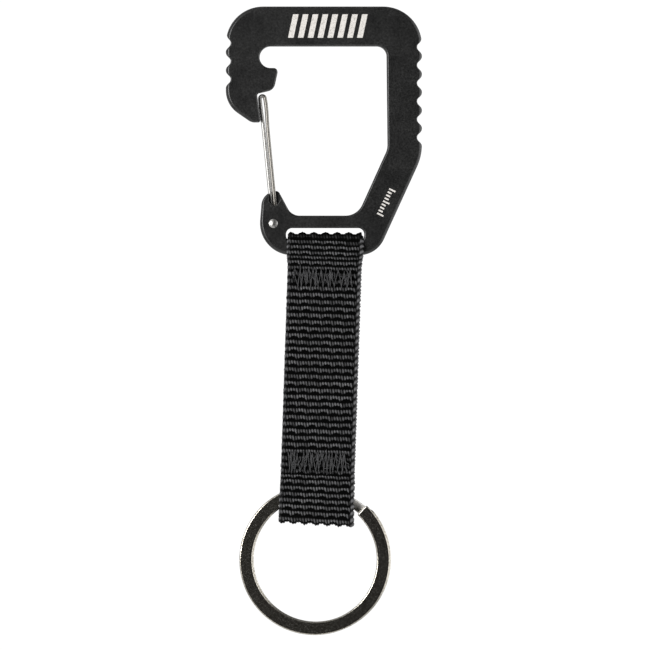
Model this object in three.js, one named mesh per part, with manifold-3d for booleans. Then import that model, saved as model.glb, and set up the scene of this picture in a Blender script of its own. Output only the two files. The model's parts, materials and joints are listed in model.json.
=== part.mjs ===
// Carabiner keyring: a flat aluminium carabiner with a sprung wire gate, a loop of webbing
// sewn round its lower bar, and a split ring for keys in the webbing's lower fold.
//
// Millimetres. +X is to the right as the gate's side is on the left, +Y is to the back,
// +Z is up. The origin is the middle of the window's upper edge, where the carabiner hangs.

import * as THREE from 'three';
import { mergeVertices } from 'three/addons/utils/BufferGeometryUtils.js';
import Module from 'manifold-3d';

const wasm = await Module();
wasm.setup();

// ---- Driving dimensions ----------------------------------------------------------------

const DEGREE = Math.PI / 180;

const PLATE_THICKNESS = 4.5;
const PLATE_EDGE = 0.5; // rounding of the plate's edges
const PLATE_TOP = 10.3;
const PLATE_LEFT = -25.78;
const PLATE_RIGHT = 25.2;
const PLATE_BOTTOM = -54.3;
const ARC_STEP = 8 * DEGREE; // one facet of a rounded corner

const SCALLOP_DEPTH = 1.27;
const SCALLOP_PITCH = 4.7;
const SCALLOP_FULLNESS = 0.25; // above 0, crests and valleys are rounder than a cosine
const LEFT_SCALLOPS = { count: 3, top: 0.75 }; // top is the height of the first valley
const RIGHT_SCALLOPS = { count: 6, top: -0.25 };

const WINDOW_TOP = 0;
const WINDOW_BOTTOM = -44.05;

const SLOT = { left: -10.15, right: 10.2, top: -47.25, bottom: -50.75, corner: 1.6 };
const BAR_CENTRE_Z = (SLOT.bottom + PLATE_BOTTOM) / 2;
const BAR = { depth: 4.1, height: 3.5, corner: 1.6, halfLength: 9.75 }; // under the webbing

const WIRE_DIAMETER = 0.96;
const WIRE_SPACING = 1.02; // between the centres of the gate's two legs
const LOOP_SPACING = 1.3; // the same where they spread to the hairpin's loop
const WIRE_SIDES = 8;
const RIVET_X = -13.4;
const RIVET_Z = -46.1;
const RIVET_SHANK = 0.75;
const RIVET_HEAD = 1.15;
const RIVET_DOME = 0.4;
const RUNNING_GAP = 0.03;
const GATE_LEAN = 5.25 * DEGREE; // the closed gate leans to the left by this
const GATE_LENGTH = 33.3; // from the rivet to the top of the hairpin's centre line
const GATE_OFFSET = 0.33; // the middle of the two legs passes the rivet's axis by this
const LOOP_OFFSET = 0.12; // and by this at the hairpin's loop
const LOOP_BULGE = 0.14; // the right leg bulges by this just below the loop
const GATE_EYE = 1.42; // radius of the eye's centre line
const GATE_OPENING = 24 * DEGREE;
const GATE_SLOT_WIDTH = 1.36;
const GATE_SLOT_GAP = 0.25;

const STRAP_WIDTH = 19;
const STRAP_LEAN = 1.9 * DEGREE; // the strap hangs with its foot to the left
const WEBBING = 1.3; // thickness of one layer
const STRAP_HALF = 1.38; // half the thickness of the two layers together
const TOP_LOOP = 2.65; // inner radius of the fold round the bar
const TOP_LOOP_APEX = -4.9; // where the two layers meet, below the bar's centre
const MIDDLE_BEND = -32;
const LOWER_BEND = -59.5;
const BEND_GAP = 0.2; // on each side of a bend
const BEND_CUT = 0.75; // the ends are bevelled by this so that they can bend
const RING_FOLD = { half: 1.5, top: -61.0, shoulder: -61.5, widest: -62.3, centre: -69.2 };

const TACK = { halfWidth: 7.6, proud: 0.3, stitch: 0.35, columns: [-6.6, -2.2, 2.2, 6.6] };
const TACK_CLEARANCE = 0.1;
const UPPER_TACK = { top: -5.5, bottom: -10.1 };
const LOWER_TACK = { top: -53.0, bottom: -58.2 };

const RING_OUTER = 19.55;
const RING_INNER = 16.15;
const RING_WIRE = 1.1; // thickness of one turn
const RING_TURN_GAP = 0.08;
const RING_X = -0.02; // from the strap's centre line
const RING_Z = -81.0; // from the bar's centre
const RING_TIP = 42.6 * DEGREE; // clockwise from the top, where the front turn starts
const RING_STEP = 23 * DEGREE; // the stretch in which the wire passes to the rear turn
const RING_FACETS = 140;

// ---- Helpers ---------------------------------------------------------------------------

// A closed outline from corner points [x, y, radius], with an arc at each rounded corner.
function roundedOutline(corners) {
  const points = [];
  corners.forEach(([x, y, radius = 0], i) => {
    const corner = new THREE.Vector2(x, y);
    const before = corners[(i + corners.length - 1) % corners.length];
    const after = corners[(i + 1) % corners.length];
    const toBefore = new THREE.Vector2(before[0], before[1]).sub(corner).normalize();
    const toAfter = new THREE.Vector2(after[0], after[1]).sub(corner).normalize();
    if (radius === 0) {
      points.push(corner);
      return;
    }
    const half = Math.acos(toBefore.dot(toAfter)) / 2;
    const inward = toBefore.clone().add(toAfter).normalize();
    const centre = corner.clone().addScaledVector(inward, radius / Math.sin(half));
    const start = corner.clone().addScaledVector(toBefore, radius / Math.tan(half)).sub(centre);
    const turn = (Math.PI - 2 * half) * Math.sign(toAfter.cross(toBefore));
    const steps = Math.max(2, Math.ceil(Math.abs(turn) / ARC_STEP));
    for (let k = 0; k <= steps; k += 1) {
      points.push(start.clone().rotateAround(new THREE.Vector2(), (turn * k) / steps).add(centre));
    }
  });
  return points;
}

function wound(outline, clockwise) {
  return THREE.ShapeUtils.isClockWise(outline) === clockwise ? outline : [...outline].reverse();
}

function shapeOf(outline, holes) {
  const shape = new THREE.Shape(wound(outline, false));
  shape.holes = holes.map((hole) => new THREE.Path(wound(hole, true)));
  return shape;
}

// An outline drawn in X and Z becomes a plate centred on Y = 0, with rounded edges if asked.
function plate(outline, thickness, edge = 0, holes = []) {
  const geometry = new THREE.ExtrudeGeometry(shapeOf(outline, holes), {
    depth: thickness - 2 * edge,
    bevelEnabled: edge > 0,
    bevelSize: edge,
    bevelThickness: edge,
    bevelOffset: -edge,
    bevelSegments: 2,
  });
  geometry.rotateX(Math.PI / 2);
  geometry.translate(0, thickness / 2 - edge, 0);
  return geometry;
}

// An outline drawn in Y and Z becomes a bar along X, centred on X = 0.
function alongX(outline, length, holes = []) {
  const options = { depth: length, bevelEnabled: false };
  const geometry = new THREE.ExtrudeGeometry(shapeOf(outline, holes), options);
  geometry.translate(0, 0, -length / 2);
  const turn = new THREE.Matrix4().makeBasis(
    new THREE.Vector3(0, 1, 0),
    new THREE.Vector3(0, 0, 1),
    new THREE.Vector3(1, 0, 0),
  );
  return geometry.applyMatrix4(turn);
}

function box(low, high) {
  const size = high.map((value, i) => value - low[i]);
  return new THREE.BoxGeometry(...size).translate(...low.map((value, i) => value + size[i] / 2));
}

function solid(geometry) {
  const bare = geometry.clone();
  bare.deleteAttribute('normal');
  bare.deleteAttribute('uv');
  const merged = mergeVertices(bare, 1e-4);
  return new wasm.Manifold(new wasm.Mesh({
    numProp: 3,
    vertProperties: new Float32Array(merged.attributes.position.array),
    triVerts: new Uint32Array(merged.index.array),
  }));
}

function geometryOf(manifold) {
  const mesh = manifold.getMesh();
  const geometry = new THREE.BufferGeometry();
  geometry.setAttribute('position', new THREE.BufferAttribute(mesh.vertProperties, 3));
  geometry.setIndex(new THREE.BufferAttribute(mesh.triVerts, 1));
  geometry.computeVertexNormals();
  return geometry;
}

function named(name, geometry, material) {
  const mesh = new THREE.Mesh(geometry, material);
  mesh.name = name;
  return mesh;
}

function material(color, roughness, metalness) {
  return new THREE.MeshStandardMaterial({ color, roughness, metalness });
}

// ---- Carabiner frame -------------------------------------------------------------------

// The frame's outline, clockwise from its top left corner, before the scallops are cut.
const FRAME_CORNERS = [
  [PLATE_LEFT, PLATE_TOP, 9.7],
  [PLATE_RIGHT, PLATE_TOP, 10.1],
  [PLATE_RIGHT, -28.55, 14],
  [13.43, PLATE_BOTTOM, 7],
  [-17.6, PLATE_BOTTOM, 8.3], // round the rivet
  [-16.3, -38.3, 4], // the lobe's left shoulder
  [-12.2, -37.45, 1.1], // and its peak, behind the gate
  [-8.65, WINDOW_BOTTOM, 3.4],
  [8.38, WINDOW_BOTTOM, 4.8],
  [16.25, -26.67, 5],
  [15.97, WINDOW_TOP, 2.6],
  [-17.0, WINDOW_TOP, 2.84], // the hook's pocket
  [-17.0, -5.7, 2.84],
  [-12.1, -5.7, 1], // the finger
  [-13.3, -11.3, 2.5],
  [-17.7, -12.3, 0.6],
  [-16.72, -19.75, 0.6], // the nose, with the gate's seat above it
  [-19.17, -19.78, 3],
  [PLATE_LEFT, -15.21, 7],
];

// Adds points to the long straight sides, so that the scallops can bend them.
function withSidePoints(outline) {
  return outline.flatMap((point, i) => {
    const next = outline[(i + 1) % outline.length];
    const steps = Math.abs(point.x) > 20 && Math.abs(next.x) > 20
      ? Math.ceil(point.distanceTo(next) / 0.4)
      : 1;
    return Array.from({ length: steps }, (_, k) => point.clone().lerp(next, k / steps));
  });
}

function scallopDepth(height, { count, top }) {
  const along = (top - height) / SCALLOP_PITCH;
  if (along < -0.5 || along > count - 0.5) return 0;
  const wave = Math.cos(2 * Math.PI * along);
  const fuller = wave * (1 + SCALLOP_FULLNESS * (1 - wave * wave));
  return (SCALLOP_DEPTH * (1 + fuller)) / 2;
}

function scalloped(outline) {
  return outline.map(({ x, y }) => {
    if (x < -20) return new THREE.Vector2(x + scallopDepth(y, LEFT_SCALLOPS), y);
    if (x > 20) return new THREE.Vector2(x - scallopDepth(y, RIGHT_SCALLOPS), y);
    return new THREE.Vector2(x, y);
  });
}

// A point of the gate's own axes (across, along) turned to where it is when open by `angle`.
function gatePoint(across, along, angle = 0) {
  return new THREE.Vector2(across, along)
    .rotateAround(new THREE.Vector2(), GATE_LEAN - angle)
    .add(new THREE.Vector2(RIVET_X, RIVET_Z));
}

// The slit between the two cheeks that the gate's legs swing in, closed on the left.
function gateSlit() {
  const reach = 12;
  const left = GATE_OFFSET - (WIRE_SPACING + WIRE_DIAMETER) / 2 - GATE_SLOT_GAP;
  const right = GATE_OFFSET + (WIRE_SPACING + WIRE_DIAMETER) / 2 + GATE_SLOT_GAP;
  const splay = 0.85; // the legs spread to meet the eye
  const sweep = plate([
    gatePoint(left - splay, 0),
    gatePoint(left - splay, 1.4),
    gatePoint(left, 5),
    gatePoint(left, reach),
    gatePoint(0, reach + 2, GATE_OPENING / 2),
    gatePoint(right, reach, GATE_OPENING),
    gatePoint(right, 0, GATE_OPENING),
  ], GATE_SLOT_WIDTH);
  const radius = GATE_EYE + WIRE_DIAMETER / 2 + GATE_SLOT_GAP;
  const eye = new THREE.CylinderGeometry(radius, radius, GATE_SLOT_WIDTH, 32);
  eye.translate(RIVET_X, 0, RIVET_Z);
  return solid(sweep).add(solid(eye));
}

// The notch in the front cheek that shows the legs as they go in.
function frontNotch() {
  const outline = roundedOutline([
    [-14.95, -36], [-11.6, -36], [-11.6, -39.9, 1], [-12.9, -41.9, 0.9], [-14.55, -40.5, 1],
  ]);
  const front = plate(outline, PLATE_THICKNESS);
  front.translate(0, -PLATE_THICKNESS / 2, 0);
  return solid(front);
}

// What is cut away so that the bar is round where the webbing bears on it.
function barRelief() {
  const { depth, height, corner, halfLength } = BAR;
  const section = roundedOutline([
    [-depth / 2, BAR_CENTRE_Z - height / 2, corner],
    [depth / 2, BAR_CENTRE_Z - height / 2, corner],
    [depth / 2, BAR_CENTRE_Z + height / 2, corner],
    [-depth / 2, BAR_CENTRE_Z + height / 2, corner],
  ]);
  const around = box([-halfLength, -4, PLATE_BOTTOM - 1], [halfLength, 4, SLOT.bottom + 0.5]);
  return solid(around).subtract(solid(alongX(section, 4 * halfLength)));
}

function carabinerFrame() {
  const outline = scalloped(withSidePoints(roundedOutline(FRAME_CORNERS)));
  const slot = roundedOutline([
    [SLOT.left, SLOT.top, SLOT.corner],
    [SLOT.right, SLOT.top, SLOT.corner],
    [SLOT.right, SLOT.bottom, SLOT.corner],
    [SLOT.left, SLOT.bottom, SLOT.corner],
  ]);
  const bore = RIVET_SHANK + RUNNING_GAP;
  const rivetHole = new THREE.CylinderGeometry(bore, bore, 2 * PLATE_THICKNESS, 24);
  rivetHole.translate(RIVET_X, 0, RIVET_Z);
  return geometryOf(
    solid(plate(outline, PLATE_THICKNESS, PLATE_EDGE, [slot]))
      .subtract(gateSlit())
      .subtract(frontNotch())
      .subtract(solid(rivetHole))
      .subtract(barRelief()),
  );
}

// ---- Gate ------------------------------------------------------------------------------

function gateRivet() {
  const face = PLATE_THICKNESS / 2 + RUNNING_GAP;
  const dome = [
    [0, face + RIVET_DOME],
    [0.45 * RIVET_HEAD, face + 0.9 * RIVET_DOME],
    [0.8 * RIVET_HEAD, face + 0.6 * RIVET_DOME],
    [RIVET_HEAD, face + 0.15 * RIVET_DOME],
    [RIVET_HEAD, face],
    [RIVET_SHANK, face],
  ];
  const profile = [...dome].reverse().map(([radius, y]) => new THREE.Vector2(radius, y));
  const mirrored = dome.map(([radius, y]) => new THREE.Vector2(radius, -y));
  return new THREE.LatheGeometry([...mirrored, ...profile], 24);
}

// The gate's wire as one curve in its own X and Z: up from the eye's left half, over the
// hairpin, and down to the eye's right half. Its points are spent where the wire bends.
class GateWire extends THREE.Curve {
  constructor() {
    super();
    const half = WIRE_SPACING / 2;
    const loop = LOOP_SPACING / 2;
    const loopZ = GATE_LENGTH - loop;
    const points = [];
    const arc = (x, z, radius, from, to, steps) => {
      for (let k = 0; k <= steps; k += 1) {
        const angle = (from + ((to - from) * k) / steps) * DEGREE;
        const place = [x + radius * Math.cos(angle), 0, z + radius * Math.sin(angle)];
        points.push(new THREE.Vector3(...place));
      }
    };
    const leg = (side) => [
      [GATE_OFFSET + side * half, 4],
      [GATE_OFFSET + side * half, 8],
      [GATE_OFFSET - 0.06 + side * (half + 0.01), 16],
      [GATE_OFFSET - 0.11 + side * (half + 0.05), 25],
      [LOOP_OFFSET + LOOP_BULGE / 2 + side * (loop + LOOP_BULGE / 2), 30.4],
    ].map(([x, z]) => new THREE.Vector3(x, 0, z));
    arc(0, 0, GATE_EYE, 258, 160, 7);
    points.push(...leg(-1));
    arc(LOOP_OFFSET, loopZ, loop, 180, 0, 8);
    points.push(...leg(1).reverse());
    arc(0, 0, GATE_EYE, 20, -78, 7);
    this.spline = new THREE.CatmullRomCurve3(points, false, 'centripetal');
    this.arcLengthDivisions = 400;
  }

  getPoint(t, target) {
    return this.spline.getPoint(t, target);
  }

  getPointAt(u, target) {
    return this.getPoint(u, target);
  }

  getTangentAt(u, target) {
    return this.getTangent(u, target);
  }
}

function wireGate() {
  const section = new THREE.Shape();
  section.absarc(0, 0, WIRE_DIAMETER / 2, 0, 2 * Math.PI, true);
  return new THREE.ExtrudeGeometry(section, {
    extrudePath: new GateWire(),
    steps: 62,
    curveSegments: WIRE_SIDES,
  });
}

// ---- Webbing ---------------------------------------------------------------------------

// The tack's threads pass through the webbing in a few columns.
function stitchColumns(tack, radius) {
  return TACK.columns.flatMap((x) => [0.25, 0.75].map((share) => {
    const z = tack.top + share * (tack.bottom - tack.top);
    return solid(new THREE.CylinderGeometry(radius, radius, 8, 8).translate(x, 0, z));
  })).reduce((all, one) => all.add(one));
}

function barTack(tack) {
  const { halfWidth, proud, stitch } = TACK;
  const near = STRAP_HALF + 0.02;
  const far = STRAP_HALF + proud;
  const front = solid(box([-halfWidth, -far, tack.bottom], [halfWidth, -near, tack.top]));
  const back = solid(box([-halfWidth, near, tack.bottom], [halfWidth, far, tack.top]));
  const reach = STRAP_HALF + proud / 2;
  const cut = solid(box([-halfWidth, -reach, tack.bottom], [halfWidth, reach, tack.top]));
  return geometryOf(stitchColumns(tack, stitch).intersect(cut).add(front).add(back));
}

function withStitchHoles(geometry, tack) {
  const holes = stitchColumns(tack, TACK.stitch + TACK_CLEARANCE);
  return geometryOf(solid(geometry).subtract(holes));
}

// Half of an outline in Y and Z, mirrored to the other side of Y = 0.
function bothSides(half) {
  const other = half.map(({ x, y }) => new THREE.Vector2(-x, y)).reverse();
  return [...half, ...other];
}

function arcPoints(centreZ, radius, from, to) {
  const steps = Math.ceil(Math.abs(to - from) / 15);
  return Array.from({ length: steps + 1 }, (_, k) => {
    const angle = (from + ((to - from) * k) / steps) * DEGREE;
    return new THREE.Vector2(radius * Math.cos(angle), centreZ + radius * Math.sin(angle));
  });
}

// The end of a stretch of webbing at a bend, bevelled on both faces.
function bendEnd(bend, side) {
  return [
    new THREE.Vector2(STRAP_HALF, bend + side * (BEND_GAP + BEND_CUT)),
    new THREE.Vector2(0.1, bend + side * BEND_GAP),
  ];
}

// From the fold round the frame's bar to the middle of the strap.
function webbingUpper() {
  const tangent = Math.asin(TOP_LOOP / -TOP_LOOP_APEX) / DEGREE; // below the horizontal
  const outer = arcPoints(0, TOP_LOOP + WEBBING, 89, -tangent);
  const inner = arcPoints(0, TOP_LOOP, 89, -tangent);
  const meeting = TOP_LOOP_APEX - 0.3;
  const outline = [...outer, new THREE.Vector2(STRAP_HALF, meeting), ...bendEnd(MIDDLE_BEND, 1)];
  const cavity = [...inner, new THREE.Vector2(0.05, TOP_LOOP_APEX)];
  return withStitchHoles(alongX(bothSides(outline), STRAP_WIDTH, [bothSides(cavity)]), UPPER_TACK);
}

// From the middle of the strap to below the lower bar tack.
function webbingLower() {
  const outline = [...bendEnd(MIDDLE_BEND, -1).reverse(), ...bendEnd(LOWER_BEND, 1)];
  return withStitchHoles(alongX(bothSides(outline), STRAP_WIDTH), LOWER_TACK);
}

// The fold that holds the ring.
function webbingFold() {
  const { half, top, shoulder, widest, centre } = RING_FOLD;
  const outline = [
    ...bendEnd(LOWER_BEND, -1).reverse(),
    new THREE.Vector2(half + WEBBING, widest),
    ...arcPoints(centre, half + WEBBING, 0, -89),
  ];
  const cavity = [
    new THREE.Vector2(1, top),
    new THREE.Vector2(half, shoulder),
    ...arcPoints(centre, half, 0, -89),
  ];
  return alongX(bothSides(outline), STRAP_WIDTH, [bothSides(cavity)]);
}

// ---- Split ring ------------------------------------------------------------------------

// The centre line of the ring's wire: a front turn, a step back, and a rear turn.
class SplitRingWire extends THREE.Curve {
  getPoint(t, target = new THREE.Vector3()) {
    const whole = 4 * Math.PI - RING_STEP - 2 * DEGREE;
    const angle = RING_TIP + t * whole;
    const stepStart = RING_TIP + 2 * Math.PI - RING_STEP - DEGREE;
    const share = THREE.MathUtils.smoothstep(angle, stepStart, stepStart + RING_STEP);
    const y = (RING_WIRE + RING_TURN_GAP) * (share - 0.5);
    const radius = (RING_OUTER + RING_INNER) / 2;
    return target.set(radius * Math.sin(angle), y, radius * Math.cos(angle));
  }
}

function splitRing() {
  const across = RING_WIRE / 2;
  const radial = (RING_OUTER - RING_INNER) / 2;
  const edge = 0.25;
  const section = new THREE.Shape([
    [across, edge - radial], [across, radial - edge], [across - edge, radial],
    [edge - across, radial], [-across, radial - edge], [-across, edge - radial],
    [edge - across, -radial], [across - edge, -radial],
  ].map(([x, y]) => new THREE.Vector2(x, y)));
  return new THREE.ExtrudeGeometry(section, {
    extrudePath: new SplitRingWire(),
    steps: RING_FACETS,
  });
}

// ---- Assembly --------------------------------------------------------------------------

const blackAluminium = material(0x242426, 0.5, 0.85);
const stainless = material(0xc9c8c4, 0.25, 1);
const blackWebbing = material(0x17171a, 0.85, 0);
const blackThread = material(0x111114, 0.75, 0);
const nickel = material(0x8f8d88, 0.28, 1);

const rivet = named('gate_rivet', gateRivet(), stainless);
rivet.position.set(RIVET_X, 0, RIVET_Z);

const gate = named('wire_gate', wireGate(), stainless);
gate.position.set(RIVET_X, 0, RIVET_Z);
gate.rotation.y = -GATE_LEAN;

const ring = named('split_ring', splitRing(), nickel);
ring.position.set(RING_X, 0, RING_Z);

const strap = new THREE.Group();
strap.position.set(0, 0, BAR_CENTRE_Z);
strap.rotation.y = STRAP_LEAN;
strap.add(
  named('webbing_upper', webbingUpper(), blackWebbing),
  named('webbing_lower', webbingLower(), blackWebbing),
  named('webbing_fold', webbingFold(), blackWebbing),
  named('upper_bar_tack', barTack(UPPER_TACK), blackThread),
  named('lower_bar_tack', barTack(LOWER_TACK), blackThread),
  ring,
);

const keyring = new THREE.Group();
keyring.add(named('carabiner_frame', carabinerFrame(), blackAluminium), rivet, gate, strap);

export default keyring;
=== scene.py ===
"""The looks of a carabiner keyring: anodised plate, wire gate, woven strap and split ring.

Lengths are in millimetres until a mesh is made, and then in metres, in the row frame.
"""

import json
import math

import bmesh
import bpy
import numpy as np
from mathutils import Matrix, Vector


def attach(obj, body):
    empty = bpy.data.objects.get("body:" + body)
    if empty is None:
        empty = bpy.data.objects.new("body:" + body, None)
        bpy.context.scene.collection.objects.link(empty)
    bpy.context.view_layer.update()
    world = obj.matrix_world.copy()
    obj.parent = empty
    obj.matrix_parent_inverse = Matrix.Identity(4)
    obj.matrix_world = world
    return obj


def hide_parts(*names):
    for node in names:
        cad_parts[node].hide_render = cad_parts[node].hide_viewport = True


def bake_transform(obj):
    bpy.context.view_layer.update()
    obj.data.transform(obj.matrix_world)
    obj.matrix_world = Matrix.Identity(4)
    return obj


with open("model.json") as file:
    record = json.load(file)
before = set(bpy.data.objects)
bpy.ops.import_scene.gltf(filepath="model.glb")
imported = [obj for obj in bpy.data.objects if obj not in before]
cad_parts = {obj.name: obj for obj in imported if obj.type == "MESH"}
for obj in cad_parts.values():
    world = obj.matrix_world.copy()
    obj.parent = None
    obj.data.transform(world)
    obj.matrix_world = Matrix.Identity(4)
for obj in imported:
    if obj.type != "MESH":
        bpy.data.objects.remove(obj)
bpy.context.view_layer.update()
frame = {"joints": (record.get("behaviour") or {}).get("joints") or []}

MM = 0.001
JOINT_AT = {j["name"]: np.array(j["pos_m"]) / MM for j in frame["joints"]}

# ---- Dimensions, as in the CAD ---------------------------------------------------------

PLATE_HALF = 2.25
PLATE_TOP, PLATE_BOTTOM = 10.3, -54.3
PLATE_LEFT, PLATE_RIGHT = -25.78, 25.2
OUTER_EDGE = 0.95  # width of the rounding along the plate's outer side
INNER_EDGE = 0.5
VALLEY_EDGE = 0.3  # what is left of it in a scallop's valley
SCALLOP_DEPTH, SCALLOP_PITCH, SCALLOP_FULLNESS = 1.27, 4.7, 0.25
SCALLOPS = {-1: (3, 0.75), 1: (6, -0.25)}  # side: how many, height of the first valley
FRAME_CORNERS = [  # x, z, radius, clockwise from the top left
    (PLATE_LEFT, PLATE_TOP, 9.7), (PLATE_RIGHT, PLATE_TOP, 10.1), (PLATE_RIGHT, -28.55, 14),
    (13.43, PLATE_BOTTOM, 7), (-17.6, PLATE_BOTTOM, 8.3), (-16.3, -38.3, 4),
    (-12.2, -37.45, 1.1), (-8.65, -44.05, 3.4), (8.38, -44.05, 4.8), (16.25, -26.67, 5),
    (15.97, 0, 2.6), (-17.0, 0, 2.84), (-17.0, -5.7, 2.84), (-12.1, -5.7, 1),
    (-13.3, -11.3, 2.5), (-17.7, -12.3, 0.6), (-16.72, -19.75, 0.6), (-19.17, -19.78, 3),
    (PLATE_LEFT, -15.21, 7),
]
SLOT_CORNERS = [(-10.15, -47.25, 1.6), (10.2, -47.25, 1.6), (10.2, -50.75, 1.6), (-10.15, -50.75, 1.6)]
NOTCH_CORNERS = [(-14.95, -36, 0.01), (-11.6, -36, 0.01), (-11.6, -39.9, 1), (-12.9, -41.9, 0.9),
                 (-14.55, -40.5, 1)]
BAR_HALF_DEPTH, BAR_HALF_HEIGHT, BAR_CORNER, BAR_HALF_LENGTH = 2.05, 1.75, 1.6, 9.75

RIVET = JOINT_AT["gate_hinge"]
RIVET_SHANK, RIVET_HEAD, RIVET_DOME, RUNNING_GAP = 0.75, 1.15, 0.4, 0.03
WIRE_RADIUS, WIRE_HALF_SPACING, LOOP_HALF_SPACING = 0.48, 0.51, 0.65
GATE_LEAN, GATE_OPENING = math.radians(5.25), math.radians(24)
GATE_LENGTH, GATE_OFFSET, LOOP_OFFSET, GATE_EYE = 33.3, 0.33, 0.12, 1.42
LOOP_BULGE = 0.14
SLIT_HALF, SLIT_GAP = 0.68, 0.25

BAR = JOINT_AT["strap_swing"]
STRAP_LEAN = math.radians(1.9)
STRAP_WIDTH, WEBBING = 19.0, 1.3
LAYER_MID = 0.73  # from the strap's middle to the middle of one layer
STRAP_FACE = 1.38
SEAM = -55.6  # where the webbing's two ends meet, under the lower bar tack
UPPER_TACK, LOWER_TACK = (-5.5, -10.1), (-53.0, -58.2)
TACK_HALF_WIDTH = 7.8
THREAD_RADIUS, TANGLE_STRANDS = 0.105, 44

RING = JOINT_AT["ring_turn"]
RING_MIDDLE, RING_HALF_WIDTH, RING_HALF_WIRE, RING_PITCH = 17.85, 1.7, 0.55, 1.18
RING_EDGE = (0.38, 0.42)  # how far the edges' rounding goes along the face and into the depth
RING_BEVEL = 0.3
RING_TIP, RING_STEP = math.radians(42.6), math.radians(23)
REAR_TURN_SHIFT = (0.3, 0, 0.05)  # the rear turn lies a little to the right

# ---- Mesh helpers ----------------------------------------------------------------------


def unit(vector):
    return vector / np.linalg.norm(vector)


def corner_arc(before, corner, after, radius, step=math.radians(4)):
    """The arc that rounds a corner between two straight lines."""
    before, corner, after = (np.array(p[:2], float) for p in (before, corner, after))
    to_before, to_after = unit(before - corner), unit(after - corner)
    half = math.acos(float(to_before @ to_after)) / 2
    centre = corner + unit(to_before + to_after) * radius / math.sin(half)
    start = corner + to_before * radius / math.tan(half) - centre
    side = to_after[0] * to_before[1] - to_after[1] * to_before[0]
    turn = math.copysign(math.pi - 2 * half, side)
    angles = np.linspace(0, turn, max(3, math.ceil(abs(turn) / step)) + 1)
    turned = np.outer(np.cos(angles), start)
    turned += np.outer(np.sin(angles), (-start[1], start[0]))
    return centre + turned


def rounded(corners, step=math.radians(4)):
    """A closed outline with an arc at each corner (x, z, radius)."""
    arcs = []
    for i, corner in enumerate(corners):
        after = corners[(i + 1) % len(corners)]
        arcs.append(corner_arc(corners[i - 1], corner, after, corner[2], step))
    return np.concatenate(arcs)


def ease(value, low, high):
    share = np.clip((value - low) / (high - low), 0, 1)
    return share * share * (3 - 2 * share)


def counterclockwise(outline):
    following = np.roll(outline, -1, axis=0)
    area = (outline[:, 0] * following[:, 1] - following[:, 0] * outline[:, 1]).sum()
    return outline if area > 0 else outline[::-1]


def inward(outline):
    """Unit normals of a counterclockwise outline, to its inside."""
    along = np.roll(outline, -1, axis=0) - np.roll(outline, 1, axis=0)
    normal = np.stack([-along[:, 1], along[:, 0]], axis=1)
    return normal / np.linalg.norm(normal, axis=1, keepdims=True)


def grid_faces(rows, columns, wrap_columns=True):
    """Quads of a grid of points, row by row, closed across its columns."""
    last = columns if wrap_columns else columns - 1
    r, c = np.meshgrid(np.arange(rows - 1), np.arange(last), indexing="ij")
    following = (c + 1) % columns
    quads = [r * columns + c, r * columns + following,
             (r + 1) * columns + following, (r + 1) * columns + c]
    return np.stack(quads, axis=-1).reshape(-1, 4).tolist()


def tube(rings):
    """Rings of points (rings, points, 3) become a closed tube with a flat cap at each end."""
    count, around = rings.shape[:2]
    faces = grid_faces(count, around)
    faces.append(list(range(around))[::-1])
    faces.append([(count - 1) * around + i for i in range(around)])
    return rings.reshape(-1, 3), faces


def joined(parts):
    """Several (points, faces) as one."""
    points, faces, start = [], [], 0
    for more_points, more_faces in parts:
        points.append(more_points)
        faces.extend([[i + start for i in face] for face in more_faces])
        start += len(more_points)
    return np.concatenate(points), faces


def mesh_object(name, points, faces):
    mesh = bpy.data.meshes.new(name)
    mesh.from_pydata((np.asarray(points) * MM).tolist(), [], faces)
    made = bmesh.new()
    made.from_mesh(mesh)
    bmesh.ops.recalc_face_normals(made, faces=made.faces)
    made.to_mesh(mesh)
    made.free()
    mesh.polygons.foreach_set("use_smooth", [True] * len(mesh.polygons))
    obj = bpy.data.objects.new(name, mesh)
    bpy.context.scene.collection.objects.link(obj)
    return obj


def set_attribute(obj, name, values):
    """A value at each point, which a material reads by the name."""
    obj.data.attributes.new(name, "FLOAT", "POINT")
    obj.data.attributes[name].data.foreach_set("value", values.ravel().astype(np.float32))


def apply_modifiers(obj):
    depsgraph = bpy.context.evaluated_depsgraph_get()
    mesh = bpy.data.meshes.new_from_object(obj.evaluated_get(depsgraph))
    obj.modifiers.clear()
    obj.data = mesh


def cut(target, cutter):
    modifier = target.modifiers.new("cut", "BOOLEAN")
    modifier.operation = "DIFFERENCE"
    modifier.solver = "EXACT"
    modifier.object = cutter
    apply_modifiers(target)
    bpy.data.objects.remove(cutter)


def crisp(obj, angle):
    """Smooth shading, but sharp where two faces meet at more than the angle."""
    made = bmesh.new()
    made.from_mesh(obj.data)
    for edge in made.edges:
        edge.smooth = len(edge.link_faces) == 2 and edge.calc_face_angle() < angle
    for face in made.faces:
        face.smooth = True
    made.to_mesh(obj.data)
    made.free()
    modifier = obj.modifiers.new("normals", "WEIGHTED_NORMAL")
    modifier.mode = "FACE_AREA_WITH_ANGLE"
    modifier.weight = 80
    modifier.keep_sharp = True
    apply_modifiers(obj)


def dress(obj, material, body=None, replaces=()):
    obj.data.materials.clear()
    obj.data.materials.append(material)
    if body:
        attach(obj, body)
    if replaces:
        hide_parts(*replaces)
    return obj


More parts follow.
